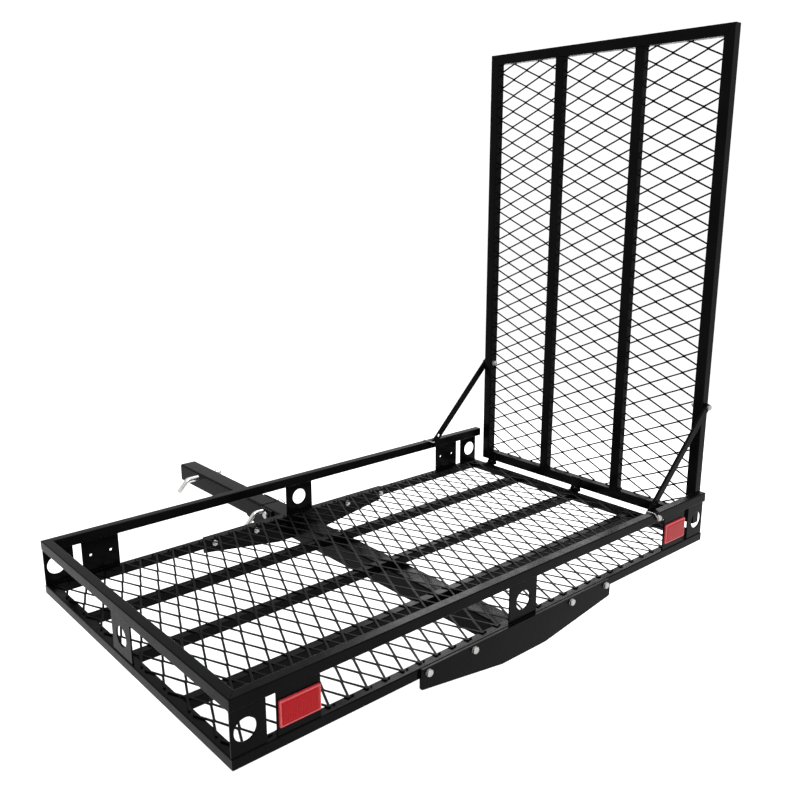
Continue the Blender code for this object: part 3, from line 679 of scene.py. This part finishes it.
# ------------------------------------------------------------------ ramp
def make_ramp():
    mid_x = (RAMP_X0 + RAMP_X1) / 2
    for label, y, outer in (("front", RAMP_Y0 + 12.5, -1), ("rear", RAMP_Y1 - 12.5, 1)):
        side = tube(f"ramp_{label}_side", "ramp", "z", (RAMP_Z0, RAMP_Z1), (mid_x, y), (25, 25),
                    mitre=(1, outer, True, True), radius=2.6)
        drill(side, "y", (y, *BRACE_TOP), M8_HOLE_R)
    for label, z, outer in (("bottom", RAMP_Z0 + 12.5, -1), ("top", RAMP_Z1 - 12.5, 1)):
        tube(f"ramp_{label}_tube", "ramp", "y", (RAMP_Y0, RAMP_Y1), (mid_x, z), (25, 25),
             mitre=(1, outer, True, True), radius=2.6)
    for label, y in (("front", 259.0), ("rear", 491.0)):
        tube(f"ramp_bar_{label}", "ramp", "z", (RAMP_Z0 + 25.3, RAMP_Z1 - 25.3),
             (RAMP_X0 + 10, y), (20, 25))
        bead(f"ramp_bar_{label}_welds", "ramp",
             *[((RAMP_X0 + 2, y + s, z), (RAMP_X0 + 18, y + s, z))
               for z in (RAMP_Z0 + 25.8, RAMP_Z1 - 25.8) for s in (-12.8, 12.8)])
    expanded("ramp_expanded_metal", "ramp", "ramp_mesh", (RAMP_Z0 + 25.2, RAMP_Z1 - 25.2),
             (RAMP_Y0 + 24.8, RAMP_Y1 - 24.8), RAMP_DIAMOND, RAMP_STRAND, 1298.6,
             (346.6 - RAMP_DIAMOND[0] * 8, 99.0), lambda c, s, h: (h, s, c))


def make_hinges():
    hx, hz = HINGE_AT
    for number, y in enumerate(HINGE_YS, 1):
        leaf = [spun((hx, y - 5.9, hz), "y", 1,
                     [(0, 3.9, 0), (0.4, 4.4, 0), (11.4, 4.4, 0), (11.8, 3.9, 0)]),
                spun((hx, y - 16, hz), "y", 1, [(0, 1.6, 0), (0.6, 2.2, 0), (31.4, 2.2, 0),
                                                      (32, 1.6, 0)])]
        for x0, x1, half in ((1251.6, 1268.9, 15.0), (1262, 1273, 5.9)):
            rings = [[(x, y + p[0], 21.85 + p[1]) for p in rounded(2 * half, 2.9, 0.7, 2)]
                     for x in (x0, x1)]
            leaf.append((rings, False, True))
        piece(f"hinge_{number}_deck_leaf.v", mesh_from_rings("deck_leaf", leaf), BLACK, "platform",
              f"hinge_{number}_deck_leaf", weighted=False, angle=30)
        plate_rings = [[(1275.4 + p[0], y + p[1], z) for p in rounded(2.5, 30, 0.6, 2)]
                       for z in (29.4, 55.9)]
        leaf = [(plate_rings, False, True)]
        for s in (-1, 1):
            bored = spun((hx, y + s * 10.65 - 4.2, hz), "y", 1,
                         [(0, 3.9, 0), (0.4, 4.4, 0), (8.0, 4.4, 0), (8.4, 3.9, 0), (8.4, 2.4, 0),
                          (0, 2.4, 0)])
            leaf.append((bored[0], True, False))
            rings = [[(1275.4 + p[0], y + s * 10.65 + p[1], z) for p in rounded(2.5, 8.4, 0.5, 2)]
                     for z in (27.2, 30)]
            leaf.append((rings, False, True))
        piece(f"hinge_{number}_ramp_leaf.v", mesh_from_rings("ramp_leaf", leaf), BLACK, "ramp",
              f"hinge_{number}_ramp_leaf", weighted=False, angle=30)
        bead(f"hinge_{number}_deck_weld", "platform", ((1251.8, y - 14.6, 21.4), (1251.8, y + 14.6, 21.4)),
             radius=1.3)
        bead(f"hinge_{number}_ramp_weld", "ramp", ((1275.9, y - 14.6, 56.2), (1275.9, y + 14.6, 56.2)),
             radius=1.1)


def make_braces():
    low, high = Vector(RAIL_PIN_AT), Vector(BRACE_TOP)
    run = (high - low).length
    angle = math.atan2(high.y - low.y, high.x - low.x)
    loop = [(BRACE_R * math.cos(a), BRACE_R * math.sin(a))
            for a in (-math.pi / 2 + math.pi * i / 20 for i in range(21))]
    loop += [(-run + BRACE_R * math.cos(a), BRACE_R * math.sin(a))
             for a in (math.pi / 2 + math.pi * i / 20 for i in range(21))]
    holes = [circle(M8_HOLE_R, 32), circle(5.2, 32, -run), circle(5.2, 32, 32 - run)]
    for label, y, out in (("front", 24.0, -1), ("rear", 726.0, 1)):
        plate(f"{label}_brace", f"{label}_brace", "y", (high.x, y, high.y), [loop] + holes, 6,
              bevel=0.6, turn=angle)
        at = (high.x, y + out * 3.2, high.y)
        inner = RAMP_Y0 + 25 if out < 0 else RAMP_Y1 - 25
        parts = [hex_head(at, "y", out, 6.5, 5.5, 0.1),
                 spun(at, "y", -out, [(0, M8_R, 0), (33, M8_R, 0)], count=24),
                 thread(at, "y", -out, M8_R, 33, 41.7),
                 washer((high.x, inner, high.y), "y", -out, 7.4, 0.1, 1.0),
                 hex_head((high.x, inner - out * 1.1, high.y), "y", -out, 6.4, 5.6)]
        piece(f"{label}_brace_bolt.v", mesh_from_rings("brace_bolt", parts), ZINC, "ramp",
              f"{label}_brace_bolt", angle=30)
        face = -0.3 if out < 0 else 750.3
        body = f"{label}_rail_pin"
        pin_at = (low.x, face, low.y)
        parts = [spun(pin_at, "y", out,
                      [(0, 5.6, 0), (0.5, 6.4, 0), (5.2, 6.4, 0), (7.2, 5.2, 0), (8, 3.0, 0)]),
                 spun(pin_at, "y", -out, [(0, 4.5, 0), (18.9, 4.5, 0), (20.1, 3.6, 0)])]
        piece(f"{label}_rail_pin.v", mesh_from_rings("rail_pin", parts), ZINC, body, body, angle=35)
        edge = 0.0 if out < 0 else WIDTH
        bail = [(x, edge - out * depth, z) for x, depth, z in
                ((1071.5, -4.5, 108), (1066.5, -4.0, 113), (1064.5, -0.5, 119.5), (1064.0, 4, 120.4),
                 (1064.0, 32, 120.4), (1065.5, 37, 120.0), (1070.0, 39, 119.7))]
        piece(f"{label}_rail_pin_bail", wire_mesh("bail", bail, 1.1, 2), ZINC, body,
              weighted=False, angle=60)


# ------------------------------------------------------------------ studio
def make_studio():
    bm = bmesh.new()
    bmesh.ops.create_grid(bm, x_segments=2, y_segments=2, size=14.0)
    mesh = bpy.data.meshes.new("floor")
    bm.to_mesh(mesh)
    bm.free()
    floor = bpy.data.objects.new("studio_floor", mesh)
    mesh.materials.append(pale_floor())
    floor.location = (0, 0, FLOOR_Z)
    bpy.context.scene.collection.objects.link(floor)
    world = bpy.context.scene.world or bpy.data.worlds.new("studio")
    bpy.context.scene.world = world
    world.use_nodes = True
    background = world.node_tree.nodes["Background"]
    background.inputs["Color"].default_value = (1.0, 1.0, 1.0, 1)
    background.inputs["Strength"].default_value = 1.06
    for name, at, size, power in LAMPS:
        light = bpy.data.lights.new(name, "AREA")
        light.energy, light.size = power, size
        lamp = bpy.data.objects.new(name, light)
        lamp.location = at
        lamp.rotation_euler = (Vector(LAMP_TARGET) - Vector(at)).to_track_quat("-Z", "Y").to_euler()
        bpy.context.scene.collection.objects.link(lamp)
    camera = bpy.data.cameras.new("photo_camera")
    camera.lens, camera.sensor_width = CAMERA_LENS, 36.0
    camera.clip_end = 60
    eye = bpy.data.objects.new("photo_camera", camera)
    eye.location = row(CAMERA_AT)
    aim = Euler((math.radians(90 - ELEVATION), 0, math.radians(AZIMUTH))).to_matrix()
    eye.rotation_euler = (aim @ Matrix.Rotation(math.radians(ROLL), 3, "Z")).to_euler()
    bpy.context.scene.collection.objects.link(eye)
    bpy.context.scene.camera = eye
    bpy.context.scene.view_settings.view_transform = "Standard"


make_frame()
make_posts()
make_beam()
make_shank()
make_pin("hitch_pin", *HITCH_PIN_AT, 8.0, 582.0, 682.0, "down")
make_pin("fold_pin", *FOLD_PIN_AT, 6.3, 585.0, 680.0, "back")
make_ramp()
make_hinges()
make_braces()
make_studio()
